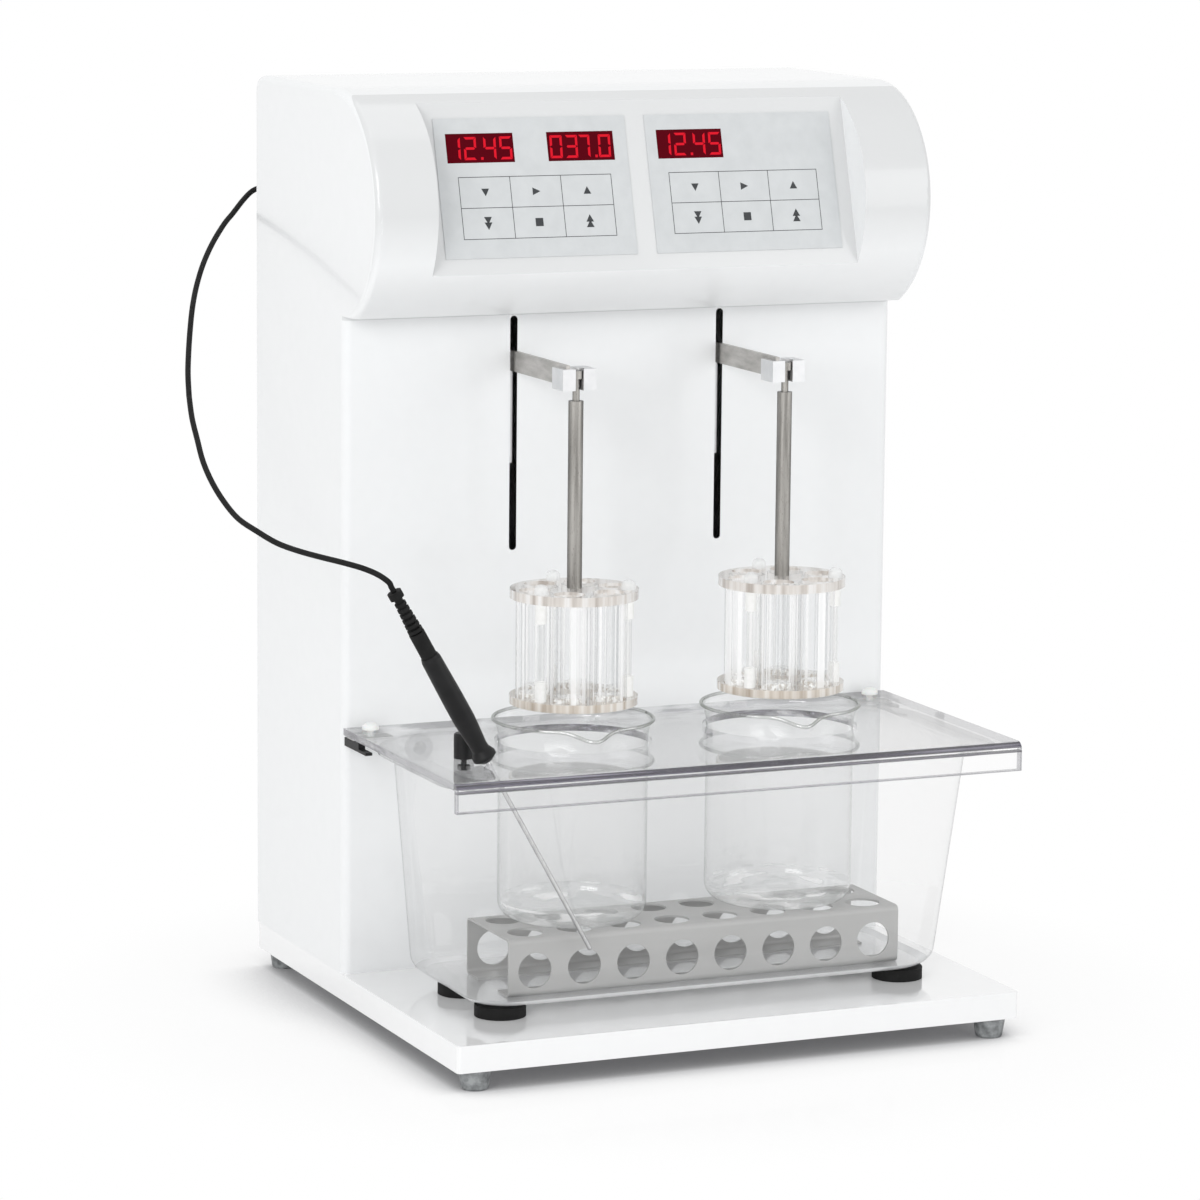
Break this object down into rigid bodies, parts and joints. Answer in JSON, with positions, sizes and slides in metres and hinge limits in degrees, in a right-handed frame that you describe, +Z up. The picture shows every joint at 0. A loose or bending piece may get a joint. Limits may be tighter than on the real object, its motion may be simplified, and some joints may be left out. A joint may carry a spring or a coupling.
{
  "type": "tablet disintegration tester",
  "caption": "Bench tester with a water tank, beakers and tube baskets raised and lowered by arms from a tower with an overhanging control panel.",
  "frame": {"origin": "on the bench, under the middle of the base plate", "axes": "+X to the right seen from the front, +Y to the back, +Z up"},
  "size_m": [0.5272, 0.4469, 0.661],
  "materials": {
    "white_gloss": "smooth gloss white enamel",
    "grey_rubber": "matt grey",
    "black_rubber": "matt black",
    "steel": "brushed stainless",
    "foil": "satin light grey film",
    "red_window": "dark red window",
    "circuit_board": "green laminate",
    "aluminium": "satin",
    "dark_metal": "dark grey",
    "black_plastic": "black",
    "grey_plastic": "grey",
    "clear_acrylic": "clear acrylic",
    "tan_plastic": "tan-tinted acrylic",
    "glass": "clear glass",
    "white_nylon": "white nylon"
  },
  "bodies": {
    "base": {"base_plate": "white_gloss", "rubber_feet": "grey_rubber", "foot_screws": "steel", "housing": "white_gloss", "rear_cover": "white_gloss", "rear_cover_screws": "steel", "keypad_foils": "foil", "display_windows": "red_window", "control_board": "circuit_board", "drive_frame": "aluminium", "guide_rods": "steel", "drive_motors": "dark_metal", "power_supply": "dark_metal", "circulation_pump": "black_plastic", "mains_inlet": "black_plastic", "switch_case": "black_plastic", "probe_socket": "steel", "tank_port": "grey_plastic", "lid_brackets": "black_plastic", "tank": "clear_acrylic", "tank_pads": "black_rubber", "beaker_rack": "steel", "probe_plug": "black_plastic", "probe_cable": "black_rubber"},
    "left_lift": {"left_carriage": "aluminium", "left_toothed_rack": "steel", "left_arm": "steel", "left_hook_block": "aluminium"},
    "left_basket": {"left_hanger_rod": "steel", "left_top_plate": "clear_acrylic", "left_bottom_plate": "tan_plastic", "left_tubes": "glass", "left_discs": "clear_acrylic", "left_tie_rods": "white_nylon", "left_dome_nuts": "white_nylon", "left_mesh": "steel"},
    "left_drive_pinion": {"left_pinion": "steel"},
    "left_beaker": {"left_beaker": "glass"},
    "right_lift": {"right_carriage": "aluminium", "right_toothed_rack": "steel", "right_arm": "steel", "right_hook_block": "aluminium"},
    "right_basket": {"right_hanger_rod": "steel", "right_top_plate": "clear_acrylic", "right_bottom_plate": "tan_plastic", "right_tubes": "glass", "right_discs": "clear_acrylic", "right_tie_rods": "white_nylon", "right_dome_nuts": "white_nylon", "right_mesh": "steel"},
    "right_drive_pinion": {"right_pinion": "steel"},
    "right_beaker": {"right_beaker": "glass"},
    "lid": {"lid": "clear_acrylic", "lid_tabs": "steel", "lid_screws": "white_nylon", "lid_knob": "black_plastic"},
    "probe": {"probe_handle": "black_plastic", "probe_boot": "black_rubber", "probe_rod": "steel"},
    "rocker": {"rocker_switch": "black_plastic"}
  },
  "joints": [
    {"name": "left_lift", "type": "slide", "parent": "base", "child": "left_lift", "axis": [0, 0, 1], "range_m": [-0.12, 0.022]},
    {"name": "left_pinion_spin", "type": "hinge", "parent": "base", "child": "left_drive_pinion", "pos_m": [-0.13986, 0.0455, 0.402], "axis": [0, 1, 0], "range_deg": [-90, 465]},
    {"name": "left_unhook", "type": "slide", "parent": "left_lift", "child": "left_basket", "axis": [0, 0, 1], "range_m": [0, 0.0072]},
    {"name": "right_lift", "type": "slide", "parent": "base", "child": "right_lift", "axis": [0, 0, 1], "range_m": [-0.12, 0.022]},
    {"name": "right_pinion_spin", "type": "hinge", "parent": "base", "child": "right_drive_pinion", "pos_m": [0.02014, 0.0455, 0.402], "axis": [0, 1, 0], "range_deg": [-90, 465]},
    {"name": "right_unhook", "type": "slide", "parent": "right_lift", "child": "right_basket", "axis": [0, 0, 1], "range_m": [0, 0.0072]},
    {"name": "lid_lift", "type": "slide", "parent": "base", "child": "lid", "axis": [0, 0, 1], "range_m": [0, 0.06], "deforming": ["probe_cable"]},
    {"name": "left_beaker_lift", "type": "slide", "parent": "lid", "child": "left_beaker", "axis": [0, 0, 1], "range_m": [0, 0.08]},
    {"name": "right_beaker_lift", "type": "slide", "parent": "lid", "child": "right_beaker", "axis": [0, 0, 1], "range_m": [0, 0.08]},
    {"name": "probe_pull", "type": "slide", "parent": "lid", "child": "probe", "axis": [-0.4924, 0, 0.8704], "range_m": [0, 0.1], "deforming": ["probe_cable"]},
    {"name": "rocker_tilt", "type": "hinge", "parent": "base", "child": "rocker", "pos_m": [0.104, 0.193, 0.079], "axis": [1, 0, 0], "range_deg": [0, 14]}
  ],
  "couplings": [
    {"joint": "left_pinion_spin", "follows": "left_lift", "rad_per_m": -66.667},
    {"joint": "right_pinion_spin", "follows": "right_lift", "rad_per_m": -66.667}
  ]
}
